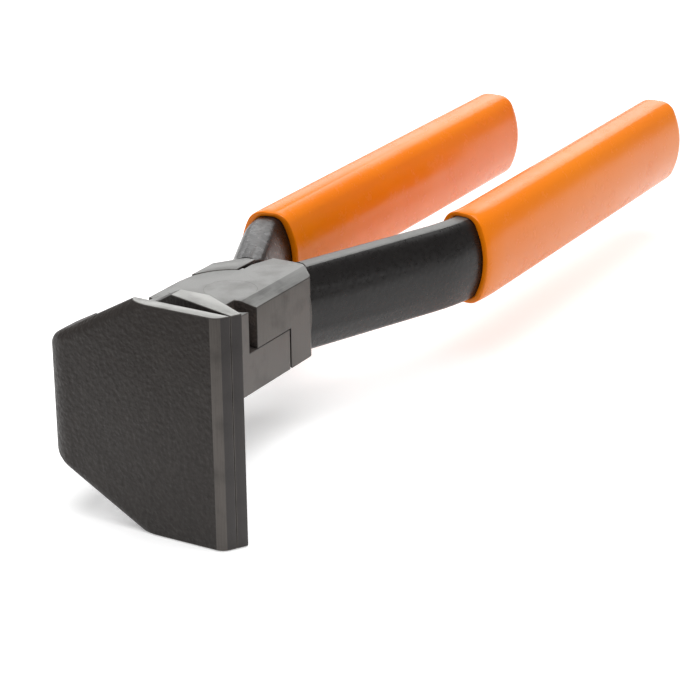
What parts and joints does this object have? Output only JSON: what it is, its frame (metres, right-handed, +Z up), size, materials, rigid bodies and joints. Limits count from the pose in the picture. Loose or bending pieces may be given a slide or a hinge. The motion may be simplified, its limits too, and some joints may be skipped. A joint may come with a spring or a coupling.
{
  "type": "seaming pliers",
  "caption": "Sheet-metal seaming pliers with two wide jaws bent ninety degrees to one side, a half-lapped riveted joint and two handles in plastic grips.",
  "frame": {"origin": "middle of the closed tool's footprint, level with the lower edges of the jaws", "axes": "+X forward from the handles to the jaws, +Y the way both jaw tips point, +Z up along the pivot"},
  "size_m": [0.2778, 0.0709, 0.06],
  "materials": {
    "upper_lever": "black lacquer over forged steel, ground bright on the joint's faces and the jaw edges",
    "lower_lever": "black lacquer over forged steel, ground bright on the joint's faces and the jaw edges",
    "pivot_rivet": "ground flush with the joint",
    "right_grip": "glossy dipped plastic",
    "left_grip": "glossy dipped plastic"
  },
  "bodies": {
    "lower_half": {"lower_lever": "lower_lever", "left_grip": "left_grip", "pivot_rivet": "pivot_rivet"},
    "upper_half": {"upper_lever": "upper_lever", "right_grip": "right_grip"}
  },
  "joints": [
    {"name": "jaw_pivot", "type": "hinge", "parent": "lower_half", "child": "upper_half", "pos_m": [0.07915, -0.00295, 0.03], "axis": [0, 0, -1], "range_deg": [0, 20]}
  ]
}
